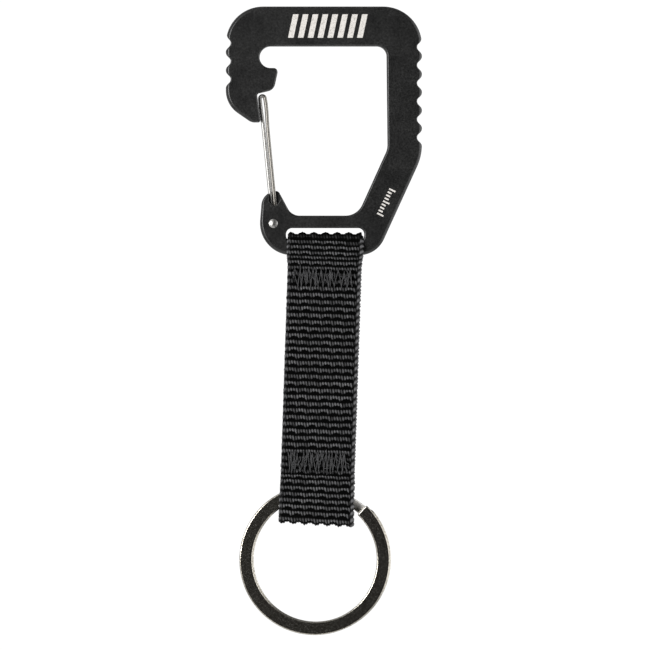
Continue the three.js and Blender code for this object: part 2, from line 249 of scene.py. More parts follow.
def catmull_rom(points, per_segment):
    """A smooth line through the points, spaced by the square root of their distance."""
    points = np.asarray(points, float)
    points = np.concatenate([[2 * points[0] - points[1]], points, [2 * points[-1] - points[-2]]])
    line = []
    for a, b, c, d in zip(points, points[1:], points[2:], points[3:]):
        gaps = [math.sqrt(np.linalg.norm(q - p)) for p, q in ((a, b), (b, c), (c, d))]
        t0, t1, t2, t3 = np.concatenate([[0], np.cumsum(gaps)])
        for t in np.linspace(t1, t2, per_segment, endpoint=False):
            ab = ((t1 - t) * a + (t - t0) * b) / (t1 - t0)
            bc = ((t2 - t) * b + (t - t1) * c) / (t2 - t1)
            cd = ((t3 - t) * c + (t - t2) * d) / (t3 - t2)
            abc = ((t2 - t) * ab + (t - t0) * bc) / (t2 - t0)
            bcd = ((t3 - t) * bc + (t - t1) * cd) / (t3 - t1)
            line.append(((t2 - t) * abc + (t - t1) * bcd) / (t2 - t1))
    line.append(points[-2])
    return np.array(line)


def resampled(line, spacing):
    """A line with evenly spaced points, and the length along it at each."""
    steps = np.linalg.norm(np.diff(line, axis=0), axis=1)
    length = np.concatenate([[0], np.cumsum(steps)])
    count = int(round(length[-1] / spacing)) + 1
    at = np.linspace(0, length[-1], count)
    return np.stack([np.interp(at, length, column) for column in line.T], axis=1), at


def round_wire(line, radius, sides, guide=(0, 1, 0)):
    """A round wire along a line, with softly rounded ends. The guide isn't along the line."""
    tangent = np.gradient(line, axis=0)
    tangent /= np.linalg.norm(tangent, axis=1, keepdims=True)
    across = np.cross(tangent, guide)
    across /= np.linalg.norm(across, axis=1, keepdims=True)
    other = np.cross(tangent, across)
    angles = np.linspace(0, 2 * math.pi, sides, endpoint=False)
    circle = across[:, None] * np.cos(angles)[:, None] + other[:, None] * np.sin(angles)[:, None]
    rings = line[:, None] + radius * circle
    ends = []
    for index, sign in ((0, -1), (-1, 1)):
        centre, out = line[index], sign * tangent[index]
        ends.append([centre + out * 0.25 * radius + 0.9 * radius * circle[index],
                     centre + out * 0.4 * radius + 0.62 * radius * circle[index]])
    rings = np.concatenate([[ends[0][1], ends[0][0]], rings, [ends[1][0], ends[1][1]]])
    return tube(rings)


# ---- Material helpers ------------------------------------------------------------------


class Shader:
    """A Principled material whose inputs are fed from nodes."""

    def __init__(self, name, **sockets):
        self.material = bpy.data.materials.new(name)
        self.material.use_nodes = True
        self.nodes = self.material.node_tree.nodes
        self.links = self.material.node_tree.links
        self.surface = self.nodes["Principled BSDF"]
        for socket, value in sockets.items():
            self.surface.inputs[socket.replace("_", " ")].default_value = value
        self.place = self.node("ShaderNodeTexCoord").outputs["Object"]

    def node(self, kind, inputs=None, **properties):
        made = self.nodes.new(kind)
        for key, value in properties.items():
            setattr(made, key, value)
        for key, value in (inputs or {}).items():
            if isinstance(value, bpy.types.NodeSocket):
                self.links.new(value, made.inputs[key])
            else:
                made.inputs[key].default_value = value
        return made

    def math(self, operation, a, b=0.0, clamp=False):
        made = self.node("ShaderNodeMath", {0: a, 1: b}, operation=operation, use_clamp=clamp)
        return made.outputs[0]

    def noise(self, size, detail=3, roughness=0.6, place=None):
        """Noise with features of about the size, in millimetres."""
        inputs = {"Vector": place or self.place, "Scale": 1 / (size * MM),
                  "Detail": detail, "Roughness": roughness}
        return self.node("ShaderNodeTexNoise", inputs).outputs["Fac"]

    def ramp(self, value, stops):
        """Stops are (place, grey) or (place, (r, g, b))."""
        made = self.node("ShaderNodeValToRGB", {"Fac": value})
        elements = made.color_ramp.elements
        while len(elements) < len(stops):
            elements.new(0.5)
        for element, (at, colour) in zip(elements, stops):
            element.position = at
            rgb = colour if isinstance(colour, tuple) else (colour,) * 3
            element.color = (*rgb, 1)
        return made.outputs["Color"]

    def mix(self, share, a, b, blend="MIX"):
        made = self.node("ShaderNodeMix", {"Factor": share}, data_type="RGBA", blend_type=blend)
        for socket, value in (("A", a), ("B", b)):
            target = next(s for s in made.inputs if s.name == socket and s.type == "RGBA")
            if isinstance(value, bpy.types.NodeSocket):
                self.links.new(value, target)
            else:
                rgb = value if isinstance(value, tuple) else (value,) * 3
                target.default_value = (*rgb, 1)
        return next(s for s in made.outputs if s.type == "RGBA")

    def bump(self, height, depth, below=None):
        """Bump of the depth, in millimetres."""
        inputs = {"Height": height, "Distance": depth * MM, "Strength": 1.0}
        if below:
            inputs["Normal"] = below
        return self.node("ShaderNodeBump", inputs).outputs["Normal"]

    def feed(self, **sockets):
        for socket, value in sockets.items():
            self.links.new(value, self.surface.inputs[socket.replace("_", " ")])
        return self.material


def anodised_material():
    """Black anodised aluminium: satin, a little mottled, rubbed along its edges."""
    s = Shader("anodised_black", Metallic=0.0, IOR=1.5, Specular_IOR_Level=0.5)
    mottle = s.noise(5.0, 4)
    grain = s.noise(0.16, 3, 0.7)
    face = s.ramp(mottle, [(0.3, (0.010, 0.010, 0.010)), (0.7, (0.019, 0.019, 0.0187))])
    patch = s.noise(0.55, 4, 0.75)
    face = s.mix(0.9, face, s.ramp(patch, [(0.38, 0.35), (0.62, 1.8)]), "MULTIPLY")
    face = s.mix(0.8, face, s.ramp(grain, [(0.35, 0.45), (0.65, 1.6)]), "MULTIPLY")
    normal = s.node("ShaderNodeTexCoord").outputs["Normal"]
    facing = s.node("ShaderNodeSeparateXYZ", {0: normal}).outputs["Y"]
    facing = s.math("ABSOLUTE", facing)
    edge = s.math("MULTIPLY", s.math("SUBTRACT", 0.98, facing, True), 4.0, True)
    edge = s.math("MULTIPLY", edge, s.math("GREATER_THAN", facing, 0.25))
    worn = s.ramp(s.noise(1.1, 5, 0.75), [(0.56, 0.0), (0.74, 1.0)])
    worn = s.math("MULTIPLY", worn, edge, True)
    worn = s.math("MULTIPLY", worn, 0.5)
    colour = s.mix(worn, face, (0.10, 0.095, 0.085))
    rough = s.math("ADD", s.math("MULTIPLY", mottle, 0.10), 0.20)
    rough = s.math("ADD", rough, s.math("MULTIPLY", grain, 0.12))
    return s.feed(Base_Color=colour, Roughness=rough, Normal=s.bump(grain, 0.006))


def etched_material():
    """Laser-etched aluminium, pale and matt, unevenly worn."""
    s = Shader("etched_pale", Metallic=0.0, IOR=1.45)
    speck = s.noise(0.3, 4, 0.7)
    colour = s.ramp(speck, [(0.3, (0.45, 0.42, 0.385)), (0.52, (0.88, 0.845, 0.80))])
    rough = s.math("ADD", s.math("MULTIPLY", speck, 0.3), 0.5)
    return s.feed(Base_Color=colour, Roughness=rough, Normal=s.bump(speck, 0.01))


def steel_material(name, roughness, dent):
    """Bright stainless steel with fine marks, and painted shade: where the point attribute read below is
    1, the colour is darkened to stand in for shade.
    """
    s = Shader(name, Metallic=1.0)
    stretched = s.node("ShaderNodeMapping", {"Vector": s.place, "Scale": (1, 1, 0.05)}).outputs[0]
    drawn = s.noise(0.12, 3, 0.6, stretched)
    cloud = s.noise(2.2, 3)
    colour = s.ramp(cloud, [(0.3, (0.44, 0.43, 0.41)), (0.7, (0.56, 0.555, 0.54))])
    # painted shade: this attribute darkens the base colour, standing in for shade
    painted_shade = s.node("ShaderNodeAttribute", attribute_name="painted_shade").outputs["Fac"]
    colour = s.mix(s.math("MULTIPLY", painted_shade, 0.9), colour, (0.27, 0.255, 0.23))
    rough = s.math("ADD", s.math("MULTIPLY", drawn, 0.06), roughness)
    dents = s.bump(s.noise(0.55, 2, 0.5), dent)
    return s.feed(Base_Color=colour, Roughness=rough, Normal=s.bump(drawn, 0.0004, dents))


def nickel_material():
    """Nickel plate over steel, speckled and scuffed by use, with a painted highlight: a point attribute
    makes the colour pale and matt on the ring's joggle and on the front turn's end.
    """
    s = Shader("nickel_plate", Metallic=1.0)
    speck = s.noise(0.35, 5, 0.75)
    cloud = s.noise(3.5, 3)
    colour = s.ramp(speck, [(0.38, (0.18, 0.165, 0.13)), (0.5, (0.55, 0.515, 0.45)),
                            (0.66, (0.88, 0.85, 0.77))])
    rough = s.ramp(speck, [(0.36, 0.20), (0.52, 0.14), (0.68, 0.28)])
    rough = s.mix(s.math("MULTIPLY", cloud, 0.3), rough, 0.2)
    # painted highlight: where this attribute is 1 the colour turns pale and the surface matt, standing
    # in for the bright reflection on the joggle's sloped face
    joggle_and_painted_highlight = s.node("ShaderNodeAttribute", attribute_name="joggle_and_painted_highlight").outputs["Fac"]
    colour = s.mix(joggle_and_painted_highlight, colour, (0.97, 0.95, 0.91))
    rough = s.mix(joggle_and_painted_highlight, rough, 0.5)
    return s.feed(Base_Color=colour, Roughness=rough, Normal=s.bump(speck, 0.006))


def webbing_material():
    """Black nylon webbing. The attribute "relief" is 0 in the weave's gaps and 1 on its yarns."""
    s = Shader("woven_nylon", Metallic=0.0, IOR=1.2)
    relief = s.node("ShaderNodeAttribute", attribute_name="relief").outputs["Fac"]
    strap = s.node("ShaderNodeUVMap", uv_map="strap").outputs["UV"]
    stretched = s.node("ShaderNodeMapping", {"Vector": strap, "Scale": (1, 0.2, 1)}).outputs[0]
    fibre = s.noise(0.09, 3, 0.6, stretched)
    cloud = s.noise(4.0, 3, 0.5, strap)
    # painted shade: the colour falls to black where the relief is low, so the weave's gaps, grooves and
    # lenses are darkened in colour as well as in depth
    colour = s.ramp(relief, [(0.2, (0.0, 0.0, 0.0)), (0.45, (0.02, 0.02, 0.0205)),
                             (0.9, (0.16, 0.16, 0.165))])
    colour = s.mix(0.6, colour, s.ramp(fibre, [(0.3, 0.55), (0.7, 1.5)]), "MULTIPLY")
    colour = s.mix(0.4, colour, s.ramp(cloud, [(0.3, 0.75), (0.7, 1.3)]), "MULTIPLY")
    rough = s.math("ADD", s.math("MULTIPLY", fibre, 0.2), 0.4)
    rough = s.math("ADD", rough, s.math("MULTIPLY", s.math("SUBTRACT", 1.0, relief), 0.5), True)
    return s.feed(Base_Color=colour, Roughness=rough, Normal=s.bump(fibre, 0.03))


def thread_material():
    """Black polyester thread with a twist."""
    s = Shader("sewing_thread", Metallic=0.0, IOR=1.3)
    twist = s.noise(0.12, 2, 0.5)
    colour = s.ramp(twist, [(0.35, (0.012, 0.012, 0.012)), (0.65, (0.12, 0.12, 0.124))])
    rough = s.math("ADD", s.math("MULTIPLY", twist, 0.2), 0.4)
    return s.feed(Base_Color=colour, Roughness=rough, Normal=s.bump(twist, 0.03))


ANODISED, ETCHED = anodised_material(), etched_material()
WIRE_STEEL = steel_material("bright_stainless", 0.40, 0.001)
RIVET_STEEL = steel_material("peened_stainless", 0.28, 0.08)
NICKEL, WOVEN, THREAD = nickel_material(), webbing_material(), thread_material()

# ---- Carabiner frame -------------------------------------------------------------------


def scallop_depth(x, z):
    depth = np.zeros(len(x))
    for side, (count, top) in SCALLOPS.items():
        along = (top - z) / SCALLOP_PITCH
        inside = (x * side > 20) & (along > -0.5) & (along < count - 0.5)
        wave = np.cos(2 * math.pi * along)
        wave = SCALLOP_DEPTH * (1 + wave * (1 + SCALLOP_FULLNESS * (1 - wave**2))) / 2
        depth[inside] = wave[inside]
    return depth


def with_side_points(outline, spacing=0.22):
    """More points on the long sides, for the scallops."""
    made = []
    for point, after in zip(outline, np.roll(outline, -1, axis=0)):
        on_side = abs(point[0]) > 20 and abs(after[0]) > 20
        steps = math.ceil(np.linalg.norm(after - point) / spacing) if on_side else 1
        made.extend(point + (after - point) * k / steps for k in range(steps))
    return np.array(made)


def rounding(inner, outer, depth, steps=6):
    """Loops of a quarter round from a face (inner outline) to its side (outer outline)."""
    loops = []
    for angle in np.linspace(0, math.pi / 2, steps + 1):
        flat = inner + (outer - inner) * math.sin(angle)
        loops.append((flat, PLATE_HALF - depth * (1 - math.cos(angle))))
    return loops


def stacked(loops):
    """Loops (outline in x and z, y) become a closed solid."""
    rings = []
    for flat, y in loops:
        depth = np.broadcast_to(y, len(flat))
        rings.append(np.stack([flat[:, 0], depth, flat[:, 1]], axis=1))
    return tube(np.array(rings))


def through_both_faces(front):
    """The same loops on the front and, in the opposite order, on the back."""
    return [(flat, -y) for flat, y in front] + [(flat, y) for flat, y in front[::-1]]


def plate_solid():
    base = counterclockwise(with_side_points(rounded(FRAME_CORNERS)))
    x, z = base.T
    beside_window, above_window, below_window = 19.3, 0.5, -44.6
    arm_x, arm_z, arm_slope = 20, -28, 0.45  # a line down the middle of the slanted arm
    outside = (np.abs(x) > beside_window) | (z > above_window) | (z < below_window)
    outside |= (x > 8) & (x - arm_x > (z - arm_z) * arm_slope) & (z < arm_z + 1)
    width = np.where(outside, OUTER_EDGE, INNER_EDGE)
    for _ in range(12):  # the width changes gradually
        width = (np.roll(width, 1) + 2 * width + np.roll(width, -1)) / 4
    inner = base + inward(base) * width[:, None]
    scalloped = base.copy()
    depth = scallop_depth(x, z)
    scalloped[:, 0] -= np.sign(x) * depth
    cut_in = depth > 0
    least = np.abs(inner[:, 0]) - np.abs(scalloped[:, 0]) > -VALLEY_EDGE
    limit = np.sign(x) * (np.abs(scalloped[:, 0]) - VALLEY_EDGE)
    inner[:, 0] = np.where(cut_in & least, limit, inner[:, 0])
    steepness = 1.5  # how much farther the rounding goes down the side than in on the face
    height = steepness * np.linalg.norm(scalloped - inner, axis=1)
    return stacked(through_both_faces(rounding(inner, scalloped, height)))


def slot_cutter(edge=0.5):
    outline = counterclockwise(rounded(SLOT_CORNERS))
    wide = outline - inward(outline) * edge
    return stacked(through_both_faces([(wide, PLATE_HALF + 1)] + rounding(wide, outline, edge, 5)))


def notch_cutter(edge=0.24):
    outline = counterclockwise(rounded(NOTCH_CORNERS))
    wide = outline - inward(outline) * edge
    loops = [(wide, PLATE_HALF + 1)] + rounding(wide, outline, edge, 4) + [(outline, 0.0)]
    return stacked([(flat, -y) for flat, y in loops])


def gate_point(across, along, angle=0.0):
    turn = GATE_LEAN - angle
    return (RIVET[0] + across * math.cos(turn) - along * math.sin(turn),
            RIVET[2] + across * math.sin(turn) + along * math.cos(turn))


def slit_cutter():
    reach = 12
    left_foot, right_foot = 0.85, 0.45  # wider here, where the wire's ends curl past
    left = GATE_OFFSET - WIRE_HALF_SPACING - WIRE_RADIUS - SLIT_GAP
    right = GATE_OFFSET + WIRE_HALF_SPACING + WIRE_RADIUS + SLIT_GAP
    outline = counterclockwise(np.array([
        gate_point(left - left_foot, 0), gate_point(left - left_foot, 1.4), gate_point(left, 5),
        gate_point(left, reach), gate_point(0, reach + 2, GATE_OPENING / 2),
        gate_point(right, reach, GATE_OPENING), gate_point(right, 4, GATE_OPENING),
        gate_point(right + right_foot, 1.6, GATE_OPENING),
        gate_point(right + right_foot, 0, GATE_OPENING),
    ]))
    return stacked([(outline, -SLIT_HALF), (outline, SLIT_HALF)])


def disc_cutter(radius, half):
    angles = np.linspace(0, 2 * math.pi, 48, endpoint=False)
    outline = np.stack([RIVET[0] + radius * np.cos(angles), RIVET[2] + radius * np.sin(angles)], 1)
    return stacked([(outline, -half), (outline, half)])


def bar_cutter():
    """What is cut away round the bar that the webbing goes round."""
    signs = ((-1, -1), (1, -1), (1, 1), (-1, 1))
    corners = [(a * BAR_HALF_DEPTH, b * BAR_HALF_HEIGHT, BAR_CORNER) for a, b in signs]
    section = rounded(corners, math.radians(12))
    around = section * (2.0, 1.5)
    around[:, 1] = np.clip(around[:, 1], -6, BAR_HALF_HEIGHT + 0.4)
    loops = []
    for x, flat in ((-BAR_HALF_LENGTH, section), (-BAR_HALF_LENGTH, around),
                    (BAR_HALF_LENGTH, around), (BAR_HALF_LENGTH, section)):
        loops.append(np.stack([np.full(len(flat), x), flat[:, 0], BAR[2] + flat[:, 1]], axis=1))
    rings = np.array(loops + [loops[0]])
    count, around_count = rings.shape[:2]
    faces = grid_faces(count - 1, around_count)
    first, last = 0, (count - 2) * around_count
    for i in range(around_count):
        j = (i + 1) % around_count
        faces.append([last + i, last + j, first + j, first + i])
    return rings[:-1].reshape(-1, 3), faces


def carabiner_frame():
    plate = mesh_object("frame_plate", *plate_solid())
    eye = GATE_EYE + WIRE_RADIUS + SLIT_GAP
    cutters = [slot_cutter(), notch_cutter(), slit_cutter(), disc_cutter(eye, SLIT_HALF),
               disc_cutter(RIVET_SHANK + RUNNING_GAP, PLATE_HALF + 1), bar_cutter()]
    for solid in cutters:
        cut(plate, mesh_object("cutter", *solid))
    crisp(plate, math.radians(32))
    return dress(plate, ANODISED, "frame", ["carabiner_frame"])


def etched_bars():
    """A plain row of slanted bars on the top, and a few ticks on the right arm."""
    proud, sunk = 0.012, 0.05
    first_x, pitch, width, slant, low_z, high_z = -9.6, 2.56, 1.45, 1.3, 2.1, 8.2
    bars = []
    for k in range(8):
        x = first_x + pitch * k
        bars.append([(x, low_z), (x + width, low_z), (x + width + slant, high_z), (x + slant, high_z)])
    tick_lean, tick_pitch, tick_width = math.radians(26.2), 0.88, 0.42
    lean = np.array((math.sin(tick_lean), math.cos(tick_lean)))
    across = np.array((lean[1], -lean[0]))
    foot = np.array((13.45, -43.6))
    for k in range(9):
        low = foot + lean * tick_pitch * k
        far = low + across * (1.8 if k % 4 == 0 else 1.15)
        bars.append([low, far, far + lean * tick_width, low + lean * tick_width])
    parts = []
    for outline in bars:
        flat = counterclockwise(np.array(outline, float))
        parts.append(stacked([(flat, -PLATE_HALF - proud), (flat, -PLATE_HALF + sunk)]))
    marks = mesh_object("etched_marks", *joined(parts))
    crisp(marks, math.radians(30))
    return dress(marks, ETCHED, "frame")


def rivet():
    face = PLATE_HALF + RUNNING_GAP
    shares = np.linspace(0, 1, 12)
    rim = 0.06
    dome = [(RIVET_HEAD * a, face + rim + (RIVET_DOME - rim) * (1 - a**1.6)) for a in shares]
    profile = [(0.001, dome[0][1])] + dome[1:] + [(RIVET_HEAD, face), (RIVET_SHANK, face)]
    turn = np.linspace(0, 2 * math.pi, 40, endpoint=False)
    rings = []
    for radius, y in profile + [(r, -y) for r, y in profile[::-1]]:
        ring = [(RIVET[0] + radius * math.cos(a), y, RIVET[2] + radius * math.sin(a)) for a in turn]
        rings.append(ring)
    made = mesh_object("rivet", *tube(np.array(rings)))
    crisp(made, math.radians(40))
    return dress(made, RIVET_STEEL, "frame", ["gate_rivet"])


def gate_wire():
    """A hairpin whose ends curl round the rivet from both sides."""

    def arc(x, z, radius, start, end, steps):
        angles = np.radians(np.linspace(start, end, steps + 1))
        return [(x + radius * math.cos(a), z + radius * math.sin(a)) for a in angles]

    def leg(side):
        half = WIRE_HALF_SPACING
        return [(GATE_OFFSET + side * half, 4), (GATE_OFFSET + side * half, 8),
                (GATE_OFFSET - 0.06 + side * (half + 0.01), 16),
                (GATE_OFFSET - 0.11 + side * (half + 0.05), 25),
                (LOOP_OFFSET + LOOP_BULGE / 2 + side * (LOOP_HALF_SPACING + LOOP_BULGE / 2), 30.4)]

    route = arc(0, 0, GATE_EYE, 258, 160, 7) + leg(-1)
    route += arc(LOOP_OFFSET, GATE_LENGTH - LOOP_HALF_SPACING, LOOP_HALF_SPACING, 180, 0, 8)
    route += leg(1)[::-1] + arc(0, 0, GATE_EYE, 20, -78, 7)
    placed = np.array([gate_point(x, z) for x, z in route])
    line = catmull_rom(np.stack([placed[:, 0], np.zeros(len(placed)), placed[:, 1]], 1), 5)
    sides = 24
    made = mesh_object("gate_wire", *round_wire(line, WIRE_RADIUS, sides))
    rings = len(made.data.vertices) // sides
    # painted shade on the right leg: the second half of the wire is darkened in colour through this
    # attribute, standing in for that leg looking greyer under the lights
    painted_shade = np.repeat(ease(np.arange(rings), rings * 0.5 - 4, rings * 0.5 + 4), sides)
    set_attribute(made, "painted_shade", painted_shade)
    return dress(made, WIRE_STEEL, "gate", ["wire_gate"])


# ---- Webbing ---------------------------------------------------------------------------

ROW = 1.77  # one row of the weave along the strap
ROW_START = 0.87
GROUP = 2.85  # one group of four yarns across it
RELIEF = 0.5
FACE_STEP = 0.18  # between the points of the woven faces
FACE, EDGE, INNER_FACE = 1, 0.8, 0.25  # how much of the relief each side of the section has
TABLE_ROWS, TABLE_GROUPS, TABLE_YARNS = 512, 64, 256  # sizes of the tables of uneven yarns


def strap_place(points):
    """From the strap's own x, y, z, with the bar's centre at 0, to the row frame."""
    x, y, z = np.asarray(points).T
    s, c = math.sin(STRAP_LEAN), math.cos(STRAP_LEAN)
    return np.stack([BAR[0] + c * x + s * z, BAR[1] + y, BAR[2] - s * x + c * z], axis=-1)


class Weave:
    """The height of the weave, from 0 in its gaps to 1 on its yarns."""

    def __init__(self):
        rng = np.random.default_rng(7)
        self.row_shift = rng.normal(0, 0.06, TABLE_ROWS)
        self.wobble = rng.normal(0, 1, (TABLE_ROWS, TABLE_GROUPS))
        self.yarn_height = rng.uniform(0.65, 1.15, (TABLE_ROWS, TABLE_YARNS))

    def height(self, across, along):
        place = (along - ROW_START) / ROW
        place = place + 0.035 * np.sin(across * 0.9 + along * 0.31)
        row = np.floor(place).astype(int)
        t = place - row
        shift = np.where(row % 2 == 0, 0.0, 0.46) + self.row_shift[row % TABLE_ROWS]
        g = (across + shift) / GROUP + 20
        group = np.floor(g).astype(int)
        x = g - group - 0.5
        wobble = self.wobble[row % TABLE_ROWS, group % TABLE_GROUPS]
        yarns = 4 * (x + 0.5) - 0.55 * (t - 0.4)
        yarn = 0.5 - 0.5 * np.cos(2 * math.pi * yarns)
        place_of_yarn = np.floor(4 * group + yarns).astype(int) % TABLE_YARNS
        yarn = yarn * self.yarn_height[row % TABLE_ROWS, place_of_yarn]
        lens = (0.28 + 0.05 * wobble) * np.clip(1 - (x / 0.47) ** 2, 0, 1)
        top = 0.06 * (1 - yarn) + 0.03 * (2 * x) ** 2
        bottom = 1.0 - lens - 0.08 * (1 - yarn)
        soft = 0.17 + 0.1 * lens
        body = ease(t, top - 0.02, top + soft) * ease(-t, -bottom - 0.02, -bottom + soft)
        middle = (top + bottom) / 2
        crown = 1 - 1.3 * ((t - middle) / (bottom - top)) ** 2
        body = body * crown * (0.38 + 0.62 * yarn) * (1 - 0.8 * x**2)
        gap = ease(0.5 - np.abs(x), 0.0, 0.06)
        body = body * (0.5 + 0.5 * gap) * (1 + 0.08 * wobble)
        return np.clip(body, 0, 1)

    def selvedge(self, across, along):
        """Blends into the edge yarns: slanted on the left, one thick cord on the right."""
        body = self.height(across, along)
        place = (along - ROW_START) / ROW
        slanted = 0.5 - 0.5 * np.cos(2 * math.pi * (place + (across + 9.5) * 0.28))
        slanted = 0.25 + 0.75 * slanted * (0.7 + 0.3 * np.cos(2 * math.pi * (across + 9.4) / 0.8))
        body = body + (slanted - body) * ease(-across, 8.5, 8.9)
        cord = 0.62 + 0.3 * np.cos(2 * math.pi * (place + 0.3 * (across - 9)))
        groove = 1 - 0.5 * np.exp(-((across - 8.45) / 0.16) ** 2)
        body = body + (cord - body) * ease(across, 8.3, 8.6)
        return np.clip(body * groove, 0, 1)


WEAVE = Weave()


def band_section():
    """Points round the webbing's section: (across, out, the outward normal's two, relief)."""
    half, thick = STRAP_WIDTH / 2, WEBBING / 2
    flat_end = half - thick
    face = np.linspace(flat_end, -flat_end, int(2 * flat_end / FACE_STEP) + 1)

    def round_edge(x, start):
        angles = np.linspace(start, start + math.pi, 9)[1:-1]
        normals = [(math.cos(a), math.sin(a)) for a in angles]
        return [(x + thick * c, thick * s, c, s, EDGE) for c, s in normals]

    rows = [(x, thick, 0, 1, FACE) for x in face] + round_edge(-flat_end, math.pi / 2)
    rows += [(x, -thick, 0, -1, INNER_FACE) for x in np.linspace(-flat_end, flat_end, 16)]
    return np.array(rows + round_edge(flat_end, -math.pi / 2))


def band(name, line, start, tightness=1.0):
    """Webbing along a line in the strap's y and z. start is the weave's length at its first point."""
    line, along = resampled(line, ROW / 10)
    tangent = np.gradient(line, axis=0)
    tangent /= np.linalg.norm(tangent, axis=1, keepdims=True)
    out = np.stack([tangent[:, 1], -tangent[:, 0]], axis=1)
    section = band_section()
    v = (start + tightness * along)[:, None]
    v = v + 0.35 * np.clip(v - 2.5, -5, 0)
    u = section[None, :, 0]
    share = section[None, :, 4]
    on_face = share == FACE
    height = WEAVE.selvedge(u + 0 * v, v + 0 * u)
    line_z = line[:, None, 1]
    for top, bottom in (UPPER_TACK, LOWER_TACK):
        sewn = ease(-line_z, -top - 0.3, -top + 0.3)
        sewn = sewn * ease(line_z, bottom - 0.3, bottom + 0.3)
        sewn = sewn * ease(-np.abs(u), -TACK_HALF_WIDTH - 0.3, -TACK_HALF_WIDTH + 0.1)
        height = height * (1 - 0.3 * sewn)
    # painted shade: the top of the loop round the bar is made darker through the lower relief that sets
    # the colour; this also flattens the weave there
    height = height * (1 - 0.6 * ease(line_z + 0 * u, 1.6, 3.1))
    relief = (height - 0.93) * RELIEF * share
    row = np.floor((v - ROW_START) / ROW).astype(int)
    uneven = 0.10 + 0.05 * WEAVE.wobble[row % TABLE_ROWS, 0]
    bulge = np.where(share == EDGE, uneven, 0.0) * np.cos(2 * math.pi * (v - ROW_START) / ROW)
    across = u + section[None, :, 2] * (relief + bulge)
    crest = ease(line_z, 1.2, 2.8) + ease(-line_z, 70.2, 71.4)
    ripple = 0.28 * crest * np.cos(2 * math.pi * u / GROUP) * on_face
    stand = ease(line_z, 1.6, 3.1) * (0.1 + 0.03 * (u + 9)) * on_face
    off = section[None, :, 1] + section[None, :, 3] * relief + ripple + stand
    y = line[:, None, 0] + off * out[:, None, 0]
    z = line[:, None, 1] + off * out[:, None, 1]
    foot = ease(-z, 56, 70)
    z = z - 0.028 * foot * across
    across = across * (1.02 + 0.02 * foot + 0.035 * ease(z, -5.5, -1))
    rings = strap_place(np.stack([across, y, z], axis=-1).reshape(-1, 3)).reshape(len(line), -1, 3)
    made = mesh_object(name, *tube(rings))
    mesh = made.data
    set_attribute(made, "relief", height)
    strap = np.stack(np.broadcast_arrays(u, v), axis=-1).reshape(-1, 2) * MM
    corners = np.zeros(len(mesh.loops), int)
    mesh.loops.foreach_get("vertex_index", corners)
    layer = mesh.uv_layers.new(name="strap")
    layer.data.foreach_set("uv", strap[corners].ravel().astype(np.float32))
    return made


def arc_line(z, radius, start, end):
    angles = np.radians(np.linspace(start, end, 60))
    return np.stack([radius * np.cos(angles), z + radius * np.sin(angles)], axis=1)


def main_line():
    """From the seam on the back, up, round the bar, and down the front to the seam."""
    radius, lean = 3.3, 32.7
    touch = arc_line(0, radius, 180 + lean, 180 + lean)[0]
    knee = (-LAYER_MID, -4.97)
    down = np.concatenate([
        arc_line(0, radius, 90, 180 + lean),
        corner_arc(touch, knee, (-LAYER_MID, SEAM), 1.5, math.radians(3)),
        [(-LAYER_MID, SEAM)],
    ])
    return np.concatenate([(down * (-1, 1))[::-1], down[1:]])


def fold_line():
    """From the seam on the front, down, round the ring, and up the back."""
    half, centre = 2.15, -69.2
    high, low = (-LAYER_MID, -59.3), (-half, -61.3)
    down = np.concatenate([
        [(-LAYER_MID, SEAM)],
        corner_arc((-LAYER_MID, SEAM), high, low, 1.3, math.radians(3)),
        corner_arc(high, low, (-half, centre), 1.3, math.radians(3)),
        arc_line(centre, half, 180, 270),
    ])
    return np.concatenate([down, (down * (-1, 1))[::-1][1:]])


def webbing():
    line = main_line()
    length = resampled(line, ROW / 10)[1][-1]
    upper = band("webbing_strap", line, -SEAM - length)
    dress(upper, WOVEN, replaces=["webbing_upper", "webbing_lower"])
    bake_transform(upper)
    fold = band("webbing_ring_fold", fold_line(), -SEAM, 1.09)
    dress(fold, WOVEN, replaces=["webbing_fold"])
    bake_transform(fold)


def stroke(rng, x, top, bottom, lean, side, lift):
    """One strand of a bar tack: over the face from one needle hole to another."""
    over, under = side * (STRAP_FACE + lift), side * (STRAP_FACE - 0.6)
    middle = (top + bottom) / 2
    bow = rng.normal(0, 0.06)
    return np.array([
        (x, under, top + 0.05), (x + 0.02 * lean, over, top - 0.3),
        (x + 0.5 * lean + bow, side * (STRAP_FACE + lift + 0.06), middle),
        (x + 0.98 * lean, over, bottom + 0.3), (x + lean, under, bottom - 0.05),
    ])


def bar_tack(name, extent, body, node, seed):
    """Strands of thread on both faces of the strap: a long zig-zag with a tangle over it."""
    rng = np.random.default_rng(seed)
    top, bottom = extent
    strands = []
    for side in (-1, 1):
        x, up = -TACK_HALF_WIDTH, 1
        while x < TACK_HALF_WIDTH - 0.5:
            lean = 0.6 + rng.normal(0, 0.2)
            ends = top + rng.normal(0, 0.4), bottom + rng.normal(0, 0.4)
            start = x if up > 0 else x + lean
            strands.append(stroke(rng, start, *ends, up * lean, side, 0.0))
            x, up = x + lean, -up
        for _ in range(TANGLE_STRANDS):
            low = rng.uniform(bottom + 0.2, top - 1.4)
            high = min(low + rng.uniform(0.8, 2.6), top + 0.2)
            place = rng.uniform(-TACK_HALF_WIDTH, TACK_HALF_WIDTH - 0.6)
            strands.append(stroke(rng, place, high, low, rng.normal(0, 0.6), side, 0.05))
    wires = [round_wire(strap_place(catmull_rom(s, 4)), THREAD_RADIUS, 6) for s in strands]
    made = mesh_object(name, *joined(wires))
    return dress(made, THREAD, body, [node])


# ---- Split ring ------------------------------------------------------------------------


def ring_section():
    """The flat wire's section, with wide soft edges: (out of the face, along the radius)."""
    wide, deep = RING_EDGE
    section = []
    for start, side, up in ((0, 1, 1), (90, -1, 1), (180, -1, -1), (270, 1, -1)):
        for angle in np.radians(start + np.linspace(0, 90, 8)):
            section.append((side * (RING_HALF_WIRE - deep) + deep * math.cos(angle),
                            up * (RING_HALF_WIDTH - wide) + wide * math.sin(angle)))
    return np.array(section)


